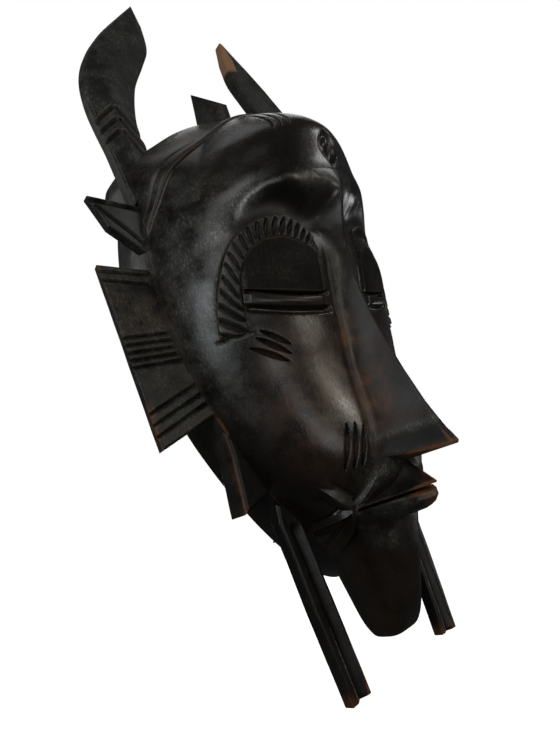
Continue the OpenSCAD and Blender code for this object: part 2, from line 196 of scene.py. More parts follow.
def on_face(x, z, lift):
    """Points of the face raised by lift along the outward direction."""
    step = 0.4
    slope_x = (face_y(x + step, z) - face_y(x - step, z)) / (2 * step)
    slope_z = (face_y(x, z + step) - face_y(x, z - step)) / (2 * step)
    out = np.stack([slope_x, -np.ones_like(slope_x), slope_z], -1)
    out /= np.linalg.norm(out, axis=-1, keepdims=True)
    return np.stack([x, face_y(x, z), z], -1) + np.asarray(lift)[..., None] * out


def hairline(z):
    """Depth of the headband line."""
    return -HAIR_LEAN * np.maximum(0, z - HAIR_Z)


# ---- what is carved into the face ----

BROW_OUTER = [(53.8, 141.4), (53.6, 152), (51.4, 164), (47.2, 174.6), (41.8, 181), (35.6, 184.4),
              (29, 185.4), (22, 184), (16.2, 180.4), (13.6, 173.5), (12.6, 165)]
BROW_INNER = [(44.8, 140.9), (44.9, 149.5), (45.6, 155), (44.8, 163), (42.4, 168.8), (39.2, 172.4),
              (33.8, 175.3), (27.4, 175.3), (21.6, 172.6), (16.4, 168.6), (12.2, 163.6)]
UNDER_EYE = [((41.8, 140.8), (33.2, 132.9)), ((43.4, 138.4), (33.8, 129.4)), ((45.8, 135.4), (35, 126.8))]
BESIDE_NOSE = [((21.9, 97.2), (25.6, 81.2)), ((18.7, 96.7), (22.8, 80.2)), ((15.8, 95), (19.9, 80.4))]
FOREHEAD = [((13.9, 242.4), (20.3, 221.8)), ((10.8, 242), (17.5, 221.6)), ((7.6, 240), (14.1, 222))]
NOSE_RIDGE = [(76, -62.4), (78, -61.8), (84, -59), (97, -55.3), (110, -52.2), (127, -48.9), (137, -47.5),
              (147, -47), (155, -47), (162, -47.6), (168, -48.6), (174, -50.2), (180, -52.8),
              (186, -55.4), (192, -57), (200, -57.2), (204, -55), (208, -53)]
NOSE_HALF_W = [(76, 15.2), (88, 14.5), (100, 12.5), (130, 9.6), (150, 8.4), (165, 8.8), (174, 9.6),
               (184, 11.5), (192, 14), (210, 14)]
MOUTH_CORNER = (22.0, 66.0)
MOUTH_TIPS = [(32.6, 77.6), (30.0, 62.6), (17.6, 48.5), (14.5, 76)]
BOSS_Z = 210.5


def slit_z(x):
    """Height of the slit of the eye."""
    return EYE_Z + 6.6 * ((np.abs(x) - 14) / 30) ** 2


def nose_half_w(z):
    return np.interp(z, *np.transpose(NOSE_HALF_W))


def boss_radius(x, z):
    """1 on the edge of the almond-shaped mark on the forehead."""
    return np.hypot(x / (5.6 * np.clip(1 - ((z - BOSS_Z) / 13) ** 2, 0.1, 1)), (z - BOSS_Z) / 9.2)


def cove(side, z):
    """Depth of the hollow between the arch of the brow and the forehead."""
    outer_x, outer_z = np.transpose(BROW_OUTER[2:9])
    arch_z = np.interp(side, outer_x[::-1], outer_z[::-1])
    hollow = COVE * bump(z, arch_z + 4.0, 5.0) * ramp(45, 26, side) * ramp(1, 7, side)
    return hollow - 0.7 * bump(z, arch_z + 13, 5) * ramp(36, 18, side)


def carved(x, z):
    """How deep the face is cut at x and z. Both halves are carved alike."""
    side = np.abs(x)
    cut = cove(side, z)
    in_eye = ramp(11.5, 15, side) * ramp(46, 43, side)
    cut += 2.4 * in_eye * ramp(1.2, 0.5, np.abs(z - slit_z(x)))
    cut += 1.9 * in_eye * ramp(2.0, 0.3, np.abs(z - slit_z(x) + 6.6))
    brow_line = 0.5 * (smooth_line(BROW_OUTER, 26) + smooth_line(BROW_INNER, 26))[:22]
    from_brow = np.min([from_segment(side, z, a, b)[0] for a, b in zip(brow_line, brow_line[1:])], axis=0)
    cut += 1.3 * ramp(4.2, 3.2, from_brow) * ramp(141.2, 142.4, z)
    foot = from_segment(side, z, BROW_OUTER[0], BROW_INNER[0])[0]
    cut += 0.4 * bump(foot, 0.1, 0.5)
    for a, b in UNDER_EYE:
        cut += gouge(side, z, a, b, 1.15, 1.5)
    for a, b in BESIDE_NOSE:
        cut += gouge(side, z, a, b, 1.0, 1.4)
    for a, b in FOREHEAD:
        cut += gouge(side, z, a, b, 0.85, 0.9)
    cut += 0.9 * bump(side, nose_half_w(z) + 0.6, 1.1) * ramp(80, 90, z) * ramp(174, 158, z)
    cut += 2.6 * ramp(1.0, 0.82, boss_radius(x, z))
    cut += 4.5 * ramp(21, 17, side) * ramp(1.6, 0.7, np.abs(z - 65.2))
    for tip in MOUTH_TIPS[:3]:
        d, t = from_segment(side, z, MOUTH_CORNER, tip)
        cut += 1.0 * bump(d, 2.4, 0.8) * ramp(1.0, 0.7, t)
    return cut


# ---- meshes ----

def grid_faces(rows, cols):
    """The quads and the border of a grid of points, as numbers of points."""
    at = np.arange(rows * cols).reshape(rows, cols)
    quads = np.stack([at[:-1, :-1], at[:-1, 1:], at[1:, 1:], at[1:, :-1]], -1).reshape(-1, 4)
    edge = np.r_[at[0, :-1], at[:-1, -1], at[-1, :0:-1], at[:0:-1, 0]]
    return quads, edge


def disc(u, v):
    """Points of a square from -1 to 1, moved so that they fill a round disc."""
    return u * np.sqrt(1 - v * v / 2), v * np.sqrt(1 - u * u / 2)


def closed_grid(front, back):
    """Vertices and faces of a solid between a front and a back grid of points."""
    rows, cols = front.shape[:2]
    n = rows * cols
    quads, edge = grid_faces(rows, cols)
    after = np.roll(edge, -1)
    wall = np.stack([after, edge, edge + n, after + n], -1)
    faces = np.vstack([quads, quads[:, ::-1] + n, wall])
    return np.vstack([front.reshape(-1, 3), back.reshape(-1, 3)]), faces.tolist()


def neighbour_mean(values, ends, counts):
    """Mean of the values at each point's neighbours."""
    total = np.zeros_like(values)
    np.add.at(total, ends[:, 0], values[ends[:, 1]])
    np.add.at(total, ends[:, 1], values[ends[:, 0]])
    return total / counts[:, None]


def paint_edges(mesh, reach=1.1):
    """Vertex attributes: wear is high on convex edges, and hollow in creases, where the wood is darkened
    as painted shade.

    Both measure how far a vertex lies from the same mesh with everything under reach smoothed away.
    """
    full_wear = 0.3
    full_crease_shade = 0.25
    count = len(mesh.vertices)
    co = np.zeros(count * 3)
    mesh.vertices.foreach_get("co", co)
    co = co.reshape(-1, 3) * 1000
    normal = np.zeros(count * 3)
    mesh.vertices.foreach_get("normal", normal)
    normal = normal.reshape(-1, 3)
    ends = np.zeros(len(mesh.edges) * 2, int)
    mesh.edges.foreach_get("vertices", ends)
    ends = ends.reshape(-1, 2)
    counts = np.maximum(np.bincount(ends.ravel(), minlength=count), 1)
    pitch = np.median(np.linalg.norm(co[ends[:, 0]] - co[ends[:, 1]], axis=1))
    flat = co
    for _ in range(int(np.clip((reach / pitch) ** 2, 2, 14))):
        flat = mix(flat, neighbour_mean(flat, ends, counts), 0.7)
    out = np.einsum("ij,ij->i", co - flat, normal)
    for name, value in (("wear", out / full_wear), ("hollow", -out / full_crease_shade)):
        layer = mesh.attributes.new(name, "FLOAT", "POINT")
        layer.data.foreach_set("value", np.clip(value, 0, 1).astype(np.float32))


def paint(mesh, name, value):
    """A vertex attribute from a function of the place in drawing millimetres."""
    co = np.zeros(len(mesh.vertices) * 3)
    mesh.vertices.foreach_get("co", co)
    x, y, z = (co.reshape(-1, 3) * 1000 + [0, RIM_Y, HOLE_Z]).T
    layer = mesh.attributes.new(name, "FLOAT", "POINT")
    layer.data.foreach_set("value", np.clip(value(x, y, z), 0, 1).astype(np.float32))


def hand_carved(points, amount):
    """Uneven hand work: gentle waves along all three directions."""
    wave = [noise(points, 26, 10 + k) + 0.5 * noise(points, 9, 20 + k) for k in range(3)]
    return points + amount * np.stack(wave, -1)


def make_piece(node, points, faces, slot, material, uneven=0.18, sharp=42):
    """A closed mesh that stands for one CAD node."""
    mesh = bpy.data.meshes.new(node + "_carving")
    mesh.from_pydata(place(hand_carved(np.asarray(points, float), uneven)).tolist(), [], faces)
    mesh.update()
    mesh.validate()
    piece = bpy.data.objects.new(node + "_carving", mesh)
    bpy.context.scene.collection.objects.link(piece)
    outward(mesh)
    mesh.shade_smooth()
    mesh.set_sharp_from_angle(angle=math.radians(sharp))
    paint_edges(mesh)
    for name, value in PAINTED.items():
        paint(mesh, name, value)
    mesh.materials.append(material)
    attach(piece, "root")
    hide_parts(node)


def outward(mesh):
    """Turns every face outwards."""
    work = bmesh.new()
    work.from_mesh(mesh)
    bmesh.ops.recalc_face_normals(work, faces=work.faces)
    work.to_mesh(mesh)
    work.free()


def both(name, solid, slot, material, pose=None, **options):
    """The left and the right piece of a pair, each on its own CAD node."""
    points, faces = solid
    if pose:
        points = pose(points)
    for side, which in ((-1, "left"), (1, "right")):
        make_piece(f"{name}_{which}", points * [side, 1, 1], faces, slot, material, **options)


# ---- where the wood is redder, paler, worn, dull or polished, and where highlights and shade are painted into its colour ----

def warm_at(x, y, z):
    """Reddish brown: cheeks, sides and top of the face, flanks and lower edge of the nose, chin."""
    side = np.abs(x)
    warm = 0.75 * bump(side, 30, 16) * bump(z, 112, 26) * ramp(-5, -25, y)
    warm += 0.5 * bump(side, 16, 10) * bump(z, 104, 16)
    warm += 3.4 * bump(z, 118, 18) * ramp(-34, -39, y) * bump(side, 8, 4)
    warm += 1.2 * ramp(81.5, 78.5, z) * ramp(-40, -48, y)
    warm += 0.12 * ramp(60, 45, z) * ramp(5, -5, y)
    warm += 0.25 * ramp(215, 245, z) * ramp(0, -15, y)
    warm += 0.35 * ramp(60, 66, side) * bump(z, 165, 18)
    return warm


def dust_and_sheen_at(x, y, z):
    """Pale bloom and painted sheen: the temples and cheeks, the foot of the nose, round the mouth, and
    the hood. On the temples, over the outer ends of the brows and beside the nose it is a painted
    highlight.
    """
    side = np.abs(x)
    # painted sheen down the temples
    dust_and_sheen = 0.90 * bump(side, 55, 8) * bump(z, 165, 30) * ramp(8, -4, y)
    # painted highlight on the roll over the outer end of the brow
    dust_and_sheen += 1.5 * bump(side + 0.8 * (z - 191), 40, 4.5) * bump(z, 191, 8)
    dust_and_sheen += 0.35 * bump(side, 47, 8) * bump(z, 205, 12)
    dust_and_sheen += 0.15 * bump(side, 50, 12) * bump(z, 118, 16) * ramp(10, 0, y)
    # painted highlight on the cheek beside the nose
    dust_and_sheen += 0.75 * bump(side, 21, 6) * bump(z, 103, 9)
    dust_and_sheen += 0.55 * bump(side, 9, 6) * bump(z, 195, 3.5)
    dust_and_sheen += 0.30 * ramp(20, 10, y) * ramp(-20, -8, y) * ramp(190, 215, z)
    dust_and_sheen += 0.35 * ramp(50, 62, side) * ramp(-3, 3, y)
    dust_and_sheen += 0.6 * bump(side, nose_half_w(z) - 2.5, 2.4) * bump(z, 150, 24) * ramp(-30, -38, y)
    dust_and_sheen += 0.9 * bump(z, 88, 1.5) * ramp(-30, -36, y) * ramp(16, 12, side)
    dust_and_sheen += 0.7 * bump(side, 12, 8) * bump(z, 77, 4) * ramp(-25, -35, y)
    dust_and_sheen += 0.5 * bump(z, 63, 4) * ramp(-24, -30, y)
    dust_and_sheen += 0.45 * bump(side, 8, 6) * bump(z, 52, 5) * ramp(-15, -22, y)
    for tip in MOUTH_TIPS:
        from_mark = from_segment(side, z, MOUTH_CORNER, tip)[0]
        dust_and_sheen += 0.9 * bump(from_mark, 0, 1.8) * ramp(-20, -24, y)
    dust_and_sheen += 0.12 * bump(side, 29, 14) * bump(z, 160, 14) * ramp(-20, -30, y)
    return dust_and_sheen


def rubbed_at(x, y, z):
    """Worn through to orange wood: corners and outer edges that stand out."""
    side = np.abs(x)
    edge = side - 0.064 * (z - 108.5)
    rubbed = ramp(74.5, 77.5, edge) * (ramp(180, 184, z) * ramp(194, 191, z) + 0.9 * ramp(140, 126, z))
    rubbed += ramp(80.5, 78.5, z) * ramp(-36, -44, y) + ramp(-57, -60, y) * ramp(90, 82, z)
    rubbed += 0.3 * ramp(66, 62, z) * ramp(-38, -44, y)
    rubbed += 0.9 * ramp(9, 2, z) * ramp(23, 25, side)
    rubbed += 0.6 * ramp(51.2, 52.2, side) * ramp(3, 1, y) * ramp(119, 114, z) * ramp(75, 77, z)
    rubbed += 0.5 * ramp(332, 340, z) + 0.35 * ramp(208, 214, z) * ramp(78, 82, side)
    return rubbed


def bare_at(x, y, z):
    """Bare wood: the point of the right horn, and a little in the hollow behind the face."""
    horn_end = ramp(31.5, 30.8, x + 0.12 * (z - 328)) * ramp(318, 321, z) * ramp(10, 20, x)
    hollow = 0.16 * ramp(7, 9, y - face_y(x, z)) * ramp(270, 268, z) * (z > 40)
    return np.maximum(horn_end, hollow)


def polished_at(x, y, z):
    """Handled and waxed to a shine: temple, cheek beside the nose, root of the nose, forehead."""
    side = np.abs(x)
    polished = bump(side + 0.8 * (z - 191), 40, 6) * bump(z, 191, 12)
    polished += 0.35 * bump(side, 55, 8) * bump(z, 164, 22)
    polished += bump(side, 20, 6) * bump(z, 105, 9)
    polished += 0.8 * bump(side, 8, 8) * bump(z, 191, 6)
    polished += 0.8 * ramp(14, 8, side) * ramp(196, 202, z) * ramp(226, 218, z)
    return np.clip(polished, 0, 1) * ramp(10, 0, y)


def dull_and_shaded_at(x, y, z):
    """Unpolished wood: eyelids, the hollow over the brows, the lower nose, the horns and the crest. In
    the hollow over the brows and on the lower nose its darker colour is painted shade.
    """
    side = np.abs(x)
    dull_and_shaded = ramp(12, 15, side) * ramp(46, 43, side) * ramp(0, 1, z - slit_z(x)) * ramp(178, 172, z)
    # this line and the next two darken the nose's flanks and lower band: painted shade
    dull_and_shaded += 0.45 * bump(z, 112, 22) * ramp(-37, -41, y) * ramp(13, 6, side)
    dull_and_shaded += 0.9 * ramp(89, 87, z) * ramp(74, 76, z) * ramp(17, 15, side)
    dull_and_shaded += 0.7 * bump(z, 95, 7) * bump(side, 8.5, 3.5) * ramp(-30, -38, y)
    # painted shade in the hollow over the brows
    dull_and_shaded += 0.7 * cove(side, z) / COVE
    horns_and_crest = 0.7 * ramp(272, 284, z)
    return np.maximum(np.clip(dull_and_shaded, 0, 1) * ramp(0, -8, y), horns_and_crest)


PAINTED = {"warm": warm_at, "dust_and_sheen": dust_and_sheen_at, "rubbed": rubbed_at, "bare": bare_at, "dull_and_shaded": dull_and_shaded_at,
           "polished": polished_at}


# ---- face and hood ----

CENTRE_Z = 156.0        # spokes run out from here over the face
SPOKE_X = 80.0
SPOKE_Z = 130.0


def spoke_point(angle, reach):
    """x and z at a fraction of the way out along a spoke."""
    return SPOKE_X * reach * np.cos(angle), CENTRE_Z + SPOKE_Z * reach * np.sin(angle)


def spoke_reach(angle, behind, inset=0):
    """How far out each spoke has come when it is that far behind the headband line."""
    low = np.zeros(np.broadcast(angle, behind).shape)
    high = np.full_like(low, 1.05)
    for _ in range(22):
        mid = (low + high) / 2
        x, z = spoke_point(angle, mid)
        inside = face_y(x, z, inset) - hairline(z) < behind
        low = np.where(inside, mid, low)
        high = np.where(inside, high, mid)
    return (low + high) / 2


def even_rings(angle, count, inset=0):
    """Reaches from the centre to the headband line, evenly spaced over the surface."""
    end = spoke_reach(angle, 0.0, inset)
    part = np.linspace(0, 1, 160) ** 0.8
    x, z = spoke_point(angle[:, None], end[:, None] * part)
    y = face_y(x, z, inset)
    run = np.sqrt(np.diff(x) ** 2 + np.diff(y) ** 2 + np.diff(z) ** 2).cumsum(1)
    run = np.column_stack([np.zeros(len(run)), run])
    at = np.linspace(0, 1, count)
    return np.array([np.interp(at * r[-1], r, e * part) for r, e in zip(run, end)])


def refined(x, z, quads, keep, rounds=2):
    """Splits the faces where the carving bends sharply, apart from those that touch keep."""
    sheet = bmesh.new()
    made = [sheet.verts.new((a, b, 0)) for a, b in zip(x, z)]
    border = {made[k] for k in keep}
    for quad in quads:
        sheet.faces.new([made[k] for k in quad])
    for _ in range(rounds):
        sheet.verts.index_update()
        flat = np.array([v.co[:2] for v in sheet.verts])
        height = carved(flat[:, 0], flat[:, 1])
        shapes = [f for f in sheet.faces if len(f.verts) == 4 and not border.intersection(f.verts)]
        middle = np.array([f.calc_center_median()[:2] for f in shapes])
        corners = np.array([[v.index for v in f.verts] for f in shapes])
        bend = np.abs(carved(middle[:, 0], middle[:, 1]) - height[corners].mean(1))
        edges = {e for f, sharp in zip(shapes, bend > 0.035) if sharp for e in f.edges}
        order = sorted(edges, key=lambda e: e.index)
        bmesh.ops.subdivide_edges(sheet, edges=order, cuts=1, use_grid_fill=True)
        sheet.edges.index_update()
    sheet.verts.index_update()
    flat = np.array([v.co[:2] for v in sheet.verts])
    faces = [[v.index for v in f.verts] for f in sheet.faces]
    sheet.free()
    return flat[:, 0], flat[:, 1], faces


def face_front():
    """x, z and faces of the front of the face, with the numbers and the angles of its border points."""
    across, down = 150, 226
    u, v = np.meshgrid(*(t - 0.05 * np.sin(math.pi * t)
                         for t in (np.linspace(-1, 1, across), np.linspace(-1, 1, down))))
    disc_x, disc_z = disc(u, v)
    angle = np.arctan2(disc_z, disc_x)
    part = np.hypot(disc_x, disc_z)
    spokes, rings = 720, 120
    table = even_rings(np.linspace(-math.pi, math.pi, spokes + 1), rings + 1)
    s = (angle + math.pi) / (2 * math.pi) * spokes
    t = np.clip(part, 0, 1) * rings
    i = np.clip(s.astype(int), 0, spokes - 1)
    j = np.clip(t.astype(int), 0, rings - 1)
    reach = mix(mix(table[i, j], table[i, j + 1], t - j),
                mix(table[i + 1, j], table[i + 1, j + 1], t - j), s - i)
    x, z = spoke_point(angle, reach)
    quads, edge = grid_faces(down, across)
    x, z, faces = refined(x.ravel(), z.ravel(), quads.tolist(), edge.tolist())
    return x, z, faces, edge, angle.ravel()[edge]


def face_shell(material):
    """The carved front of the face, and the plain hollow behind it, joined along the headband line."""
    x, z, faces, edge, edge_angle = face_front()
    border = hairline(z) - face_y(x, z)
    lift = -carved(x, z) - 0.8 * ramp(1.4, 0, border) * ramp(194, 200, z)
    outer = on_face(x, z, lift)

    skip = 2
    inner_rings = 26
    inner_angle = edge_angle[::skip]
    inner_reach = even_rings(inner_angle, inner_rings, WALL)[:, :0:-1].T
    inner_x, inner_z = spoke_point(inner_angle[None], inner_reach)
    inner = np.stack([inner_x, face_y(inner_x, inner_z, WALL), inner_z], -1)
    inner[..., 1] += 0.5 * noise(inner, 12, 31)

    ring = len(outer) + np.arange(inner.shape[0] * inner.shape[1]).reshape(inner.shape[:2])
    after = np.roll(ring, -1, axis=1)
    count = len(inner_angle)
    for k in range(count):
        run = [edge[(skip * k + m) % len(edge)] for m in range(skip + 1)]
        faces.append(run + [after[0, k], ring[0, k]])
    wall = np.stack([ring[:-1], after[:-1], after[1:], ring[1:]], -1).reshape(-1, 4)
    faces += wall.tolist()
    pole = len(outer) + ring.size
    faces += [[ring[-1, k], after[-1, k], pole] for k in range(count)]
    faces = [[int(number) for number in face] for face in faces]
    middle = [[0, float(face_y(np.array(0.0), np.array(CENTRE_Z), WALL)), CENTRE_Z]]
    points = np.vstack([outer, inner.reshape(-1, 3), middle])
    make_piece("face_shell", points, faces, "dark_wood", material, uneven=0.25)


def hood(material):
    """From the headband line to the rim, round the rim, and back along the hollow."""
    angle = np.linspace(-math.pi, math.pi, 720, endpoint=False)
    rounding = 1.5
    rows = []

    def wall_row(behind, inset, lift=0.0):
        reach = spoke_reach(angle, behind, inset)
        x, z = spoke_point(angle, reach)
        y = face_y(x, z, inset)
        push = -lift * ramp(194, 200, z)
        rows.append(np.stack([x - push * np.cos(angle), y, z - push * np.sin(angle)], -1))

    def to_rim(inset):
        """How far behind the headband line each spoke is at the rim."""
        reach = spoke_reach(angle, RIM_Y - rounding - 0.02, inset)
        for _ in range(6):
            z = spoke_point(angle, reach)[1]
            reach = spoke_reach(angle, RIM_Y - rounding - hairline(z), inset)
        return RIM_Y - rounding - hairline(spoke_point(angle, reach)[1])

    def rim_row(base, way, turn):
        """One row of the rounded edge of the rim, turn degrees round from the wall."""
        inward = way * rounding * (1 - math.cos(math.radians(turn)))
        line = base.copy()
        line[:, 0] -= inward * np.cos(angle)
        line[:, 2] -= inward * np.sin(angle)
        line[:, 1] = RIM_Y - rounding * (1 - math.sin(math.radians(turn)))
        rows.append(line)

    last = to_rim(0)
    for behind in (0, 0.3, 0.6, 1.0, 1.6, 2.8, 4.0, 4.6, 5.0, 5.4, 5.9, 6.5, 7.4):
        groove = 0.9 * bump(behind, 0.1, 0.6) + 0.9 * bump(behind, 5.5, 0.6)
        wall_row(behind, 0, -groove)
    for t in np.linspace(0.08, 1, 26):
        wall_row(mix(7.4, last, t), 0)
    outer = rows[-1]
    for turn in (30, 60, 90):
        rim_row(outer, 1, turn)
    last = to_rim(WALL)
    wall_row(last, WALL)
    inner = rows.pop()
    for t in (0.3, 0.7):
        rows.append(mix(rows[-1], inner, t) * [1, 0, 1] + [0, RIM_Y, 0])
    for turn in (90, 60, 30):
        rim_row(inner, -1, turn)
    rows.append(inner)
    for t in np.linspace(0.9, 0, 14):
        wall_row(mix(0, last, t), WALL)

    grid = np.array(rows)
    at = np.arange(grid.shape[0] * grid.shape[1]).reshape(grid.shape[:2])
    down = np.roll(at, -1, axis=0)
    faces = np.stack([at, np.roll(at, -1, axis=1), np.roll(down, -1, axis=1), down], -1)
    make_piece("hood", grid.reshape(-1, 3), faces.reshape(-1, 4).tolist(), "dark_wood", material)


def headband(material):
    """A raised strip over the top of the head, between two cut lines."""
    angle = np.linspace(-0.2, math.pi + 0.2, 900)
    z = spoke_point(angle, spoke_reach(angle, 0.6))[1]
    angle = angle[z > 196.5]
    behind = np.array([0.3, 0.5, 0.8, 1.3, 2.0, 2.8, 3.6, 4.2, 4.7, 5.0, 5.2])
    height = np.array([-0.6, 0.1, 0.5, 0.75, 0.8, 0.8, 0.8, 0.75, 0.5, 0.1, -0.6])
    a, b = np.meshgrid(angle, behind)
    x, z = spoke_point(a, spoke_reach(a, b))
    fade = ramp(196.5, 202, z)
    lift = height[:, None] * fade - 0.3 * (1 - fade)
    front = on_face(x, z, lift)
    back = on_face(x, z, np.full_like(lift, -2.0))
    make_piece("headband", *closed_grid(front, back), "feature_wood", material, uneven=0.1)


# ---- crest, horns, fins, panels and legs ----

def eased(count):
    """0 to 1, closer together near both ends."""
    return 0.5 - 0.5 * np.cos(np.linspace(0, math.pi, count))


def line_at(points, parts):
    """Points of a line, each so many parts of the way along it by number of corners."""
    p = np.array(points, float)
    at = parts * (len(p) - 1)
    return np.column_stack([np.interp(at, np.arange(len(p)), p[:, k]) for k in range(2)])


def plate(line_a, line_b, front, back, along, across, edge, cut=None, fold=0.0):
    """A plate between two edge lines, with rounded borders, cuts and a lengthwise fold."""
    a = line_at(line_a, eased(along))[:, None]
    b = line_at(line_b, eased(along))[:, None]
    v = eased(across)[None, :, None]
    grid = mix(a, b, v)
    x, z = grid[..., 0], grid[..., 1]
    outline = [*line_a, *reversed(line_b), line_a[0]]
    rim = np.full(x.shape, 99.0)
    for p, q in zip(outline, outline[1:]):
        if math.dist(p, q) > 1e-6:
            rim = np.minimum(rim, from_segment(x, z, p, q)[0])
    rounding = edge - np.sqrt(np.maximum(edge ** 2 - np.clip(edge - rim, 0, edge) ** 2, 0))
    y = front + rounding - fold * np.clip(1 - np.abs(2 * v[..., 0] - 1), 0, 1) * ramp(0, 3 * edge, rim)
    if cut is not None:
        y = y + cut(x, z)
    return closed_grid(np.stack([x, y, z], -1), np.stack([x, back - rounding, z], -1))


def cuts(lines, width, depth):
    """Straight V cuts right across a plate."""
    def cut(x, z):
        total = 0
        for a, b in lines:
            total = total + depth * np.clip(1 - from_segment(x, z, a, b)[0] / width, 0, 1)
        return total
    return cut


def horns(material):
    outer = smooth_line([(62, 214), (65.5, 241), (69.8, 267), (66.8, 289), (54.5, 310.5), (29, 342)], 120)
    inner = smooth_line([(50, 222), (46.5, 243), (47.8, 260), (43, 281.5), (33.5, 300), (27.5, 313),
                         (26.6, 328)], 120)
    lines = [((72, 252.5 - 6 * i), (59.5, 265 - 6.5 * i)) for i in range(3)]
    lines += [((57, 265 - 6.5 * i), (46, 250 - 6.5 * i)) for i in range(3)]
    chevrons = cuts(lines, 1.5, 1.5)
    solid = plate(outer.tolist(), inner.tolist(), 0, 7, 300, 48, edge=1.6, cut=chevrons, fold=1.5)
    both("horn", solid, "plate_wood", material)


def temple_fins(material):
    lines = [((83, 213.2), (60, 211.2)), ((81, 211.5), (61, 192.8))]
    solid = plate([(82.7, 215.3), (62, 213.5), (52, 212)], [(77, 201.5), (63, 190), (52, 184)],
                  0, 5, 110, 90, edge=1.0, cut=cuts(lines, 1.3, 1.4))
    both("temple_fin", solid, "plate_wood", material)


def panel_pose(points):
    """The ear panels slope back from the face."""
    turn = math.radians(10)
    x, y, z = (points - [56, 0, 0]).T
    return np.column_stack([56 + x * math.cos(turn) - y * math.sin(turn),
                            x * math.sin(turn) + y * math.cos(turn), z])


def ear_panels(material):
    lines = [((86, 183.8 - 4 * i), (63, 180 - 4 * i)) for i in range(2)]
    lines += [((82, 154 - 3.1 * i), (54, 154.5 - 3.1 * i)) for i in range(5)]
    lines += [((84.5, 112 + 4.6 * i), (50, 125.2 + 4.6 * i)) for i in range(3)]
    solid = plate([(84.5, 186.8), (79.5, 108.5)], [(60, 182.5), (50, 119)], 0, 5, 280, 70,
                  edge=1.1, cut=cuts(lines, 0.95, 1.0))
    both("ear_panel", solid, "plate_wood", material, pose=panel_pose)


def jaw_fins(material):
    outer = [(53, 114), (52.2, 99), (54, 77.2)]
    inner = [(46, 113), (42, 98), (38, 83)]
    solid = plate(outer, inner, 0, 12, 90, 40, edge=1.6)
    both("jaw_fin", solid, "plate_wood", material)


def leg_pose(points):
    """The legs lean a little forward from the jaw."""
    turn = math.radians(-1.6)
    x, y, z = (points - [0, 0, 75]).T
    return np.column_stack([x, y * math.cos(turn) - z * math.sin(turn) - 1.4,
                            75 + y * math.sin(turn) + z * math.cos(turn)])


def legs(material):
    outer = [(36.2, 0), (39.4, 35), (41.6, 70), (40.2, 77.5)]
    inner = [(25.8, 0.6), (28.2, 34), (30.4, 68), (30, 76)]
    channel = cuts([((30.2, -4), (35, 66))], 3.0, 2.3)
    solid = plate(outer, inner, 0, 6.5, 160, 44, edge=1.5, cut=channel)
    both("leg", solid, "plate_wood", material, pose=leg_pose)


def crest(material):
    """A wedge with its edge to the front and a sloping top."""
    left = [(-4.5, 11), (-4.5, 3), (-4.5, -6)]
    right = [(4.5, -6), (4.5, 3), (4.5, 11)]
    outline = smooth_line([*left, (0, -12.3), *right], 60)
    rows = np.linspace(0, 1, 24)[:, None]
    x, y = outline[:, 0][None], outline[:, 1][None]
    top = np.minimum(275 + (y + 12.2) * 21 / 17.2, 296 - (y - 5) * 6)
    low = np.where(y < 0, 252.0, 256.0)
    side = np.stack(np.broadcast_arrays(x, y, mix(low, top, rows)), -1)
    spine = side * [0, 1, 1]
    make_piece("crest", *closed_grid(side, spine), "plate_wood", material, uneven=0.1, sharp=30)


# ---- nose, mouth and chin ----

def nose(material):
    """A thin wedge with hollow flanks that widens into a rounded root between the brows."""
    rows, cols = 240, 97
    z = np.linspace(77.2, 208, rows)[:, None]
    t = np.linspace(-1, 1, cols)[None]
    foot = nose_half_w(z)
    x = (foot + 1.2) * np.sign(t) * np.abs(t) ** 1.25
    ridge = np.interp(z, *np.transpose(NOSE_RIDGE))
    flat = 0.5 + 1.7 * ramp(98, 78, z)
    s = np.clip((np.abs(x) - flat) / (foot - flat), 0, 1)
    hollow_side = 1 - (1 - s) ** 1.9
    round_side = s * s * (3 - 2 * s)
    profile = mix(hollow_side, round_side, ramp(188, 198, z))
    underside_slope = 6.0 * ramp(94, 78, z) * s
    z = z + underside_slope
    skin = face_y(x, z) + cove(np.abs(x), z)
    wedge = mix(ridge, face_y(foot, z) + 0.4 + cove(foot, z), profile)
    groove_over_lower_edge = 1.6 * bump(z, 83.4 + 2.5 * s, 3.6) * ramp(0.0, 0.15, s)
    wedge = wedge + groove_over_lower_edge
    lower_edge_rounding = [[1.2], [0.4]]
    wedge[:2] += lower_edge_rounding
    soft = 0.6 + 4.0 * ramp(182, 196, z)
    front = 0.5 * (wedge + skin - np.sqrt((wedge - skin) ** 2 + soft))
    front = front + 0.5 * np.sqrt(soft) * np.maximum(ramp(0.6, 1, np.abs(t)), ramp(194, 203, z))
    front = front + 0.7 * ramp(0.93, 1, np.abs(t)) + 1.5 * ramp(200, 204, z)
    grid = np.stack([x, front, z], -1)
    back = np.stack([x, skin + 4.0, z], -1)
    make_piece("nose", *closed_grid(grid, back), "feature_wood", material, uneven=0.2)


def upper_lip(material):
    """Two hollow facets that meet in a ridge above the parting of the lips."""
    v = np.linspace(0, 1, 44)[:, None]
    s = np.linspace(-1, 1, 121)[None]
    half = mix(5, 22.5, v)
    x = half * s
    z = mix(77.5, 65.9, v) + 0 * s
    middle = mix(-37.5, -48.2, v)
    corner = mix(face_y(x, z), -22.5, v)
    y = mix(middle, corner, np.abs(s) ** 1.12)
    y = y + 1.5 * np.sin(math.pi * np.abs(s)) * np.sin(math.pi * v ** 1.4)
    y = y - 0.7 * bump(np.abs(s), 0.93, 0.05) + 1.0 * ramp(0.94, 1, v)
    y = np.minimum(y, face_y(x, z) - 0.1)
    grid = np.stack([x, y, z], -1)
    back = np.stack([x, face_y(x, z) + 2.0, z], -1)
    make_piece("upper_lip", *closed_grid(grid, back), "feature_wood", material, uneven=0.15)


